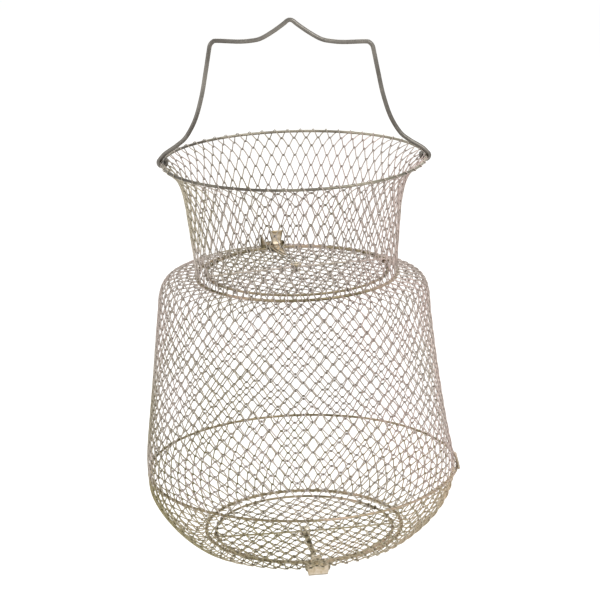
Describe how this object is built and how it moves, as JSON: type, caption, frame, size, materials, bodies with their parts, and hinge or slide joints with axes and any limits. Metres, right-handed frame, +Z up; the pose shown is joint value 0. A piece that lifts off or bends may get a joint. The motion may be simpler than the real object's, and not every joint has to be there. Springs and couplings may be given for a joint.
{
  "type": "wire keep net",
  "caption": "Collapsible wire-mesh keep net with a bail handle, a trumpet collar over a barrel body, a sprung hinged lid and a sprung bottom door.",
  "frame": {"origin": "underside of the peak of the bail handle, where the hanging net rests on its hook, on the net's own axis", "axes": "+Z up along the net's axis, +X across the mouth towards one foot of the handle, and the handle's flat plane is XZ; the net hangs open at its full length"},
  "size_m": [0.3326, 0.3326, 0.5737],
  "materials": {
    "handle_wire": "dull zinc-plated round wire, worn grey with a faint yellow tint",
    "ring_wire": "yellow-passivated zinc plate on round wire, olive brown in the shade",
    "mesh_wire": "pale brass-tinted zinc plate on thin drawn wire",
    "sheet": "yellow-passivated stamped steel sheet",
    "spring_wire": "plated spring-steel wire",
    "pins": "bright plated pins and rivets"
  },
  "bodies": {
    "handle": {"handle": "handle_wire"},
    "mouth": {"mouth_ring": "ring_wire", "collar_mesh": "mesh_wire"},
    "neck": {"neck_ring": "ring_wire", "body_mesh": "mesh_wire", "lid_bracket": "sheet", "lid_hinge_pin": "pins"},
    "lid": {"lid_ring": "ring_wire", "lid_mesh": "mesh_wire", "lid_cross_bar": "spring_wire", "lid_strap": "sheet", "lid_clamp_plate": "sheet", "lid_strap_rivet": "pins", "lid_spring": "spring_wire", "lid_centre_washer": "sheet", "lid_centre_rivet": "pins"},
    "belly": {"belly_ring": "ring_wire", "bowl_mesh": "mesh_wire"},
    "bottom": {"bottom_ring": "ring_wire", "door_bracket": "sheet", "door_hinge_pin": "pins"},
    "door": {"door_ring": "ring_wire", "door_mesh": "mesh_wire", "door_cross_bar": "spring_wire", "door_strap": "sheet", "door_clamp_plate": "sheet", "door_strap_rivet": "pins", "door_spring": "spring_wire", "door_centre_washer": "sheet", "door_centre_rivet": "pins"}
  },
  "joints": [
    {"name": "handle_swing", "type": "hinge", "parent": "handle", "child": "mouth", "pos_m": [0, 0, -0.1485], "axis": [1, 0, 0], "range_deg": [-85, 85]},
    {"name": "collar_fold", "type": "slide", "parent": "mouth", "child": "neck", "axis": [0, 0, 1], "range_m": [0, 0.105], "deforming": ["collar_mesh"]},
    {"name": "lid_hinge", "type": "hinge", "parent": "neck", "child": "lid", "pos_m": [-0.02584, 0.09645, -0.2643], "axis": [-0.9659, -0.2588, 0], "range_deg": [-80, 0], "stiffness_Nm_per_rad": 0.12, "springref_deg": 80.21},
    {"name": "body_fold", "type": "slide", "parent": "neck", "child": "belly", "axis": [0, 0, 1], "range_m": [0, 0.188], "deforming": ["body_mesh"]},
    {"name": "bowl_fold", "type": "slide", "parent": "belly", "child": "bottom", "axis": [0, 0, 1], "range_m": [0, 0.055], "deforming": ["bowl_mesh"]},
    {"name": "door_hinge", "type": "hinge", "parent": "bottom", "child": "door", "pos_m": [0.01303, -0.099, -0.5571], "axis": [0.9914, 0.1305, 0], "range_deg": [-80, 0], "stiffness_Nm_per_rad": 0.2, "springref_deg": 91.67}
  ]
}
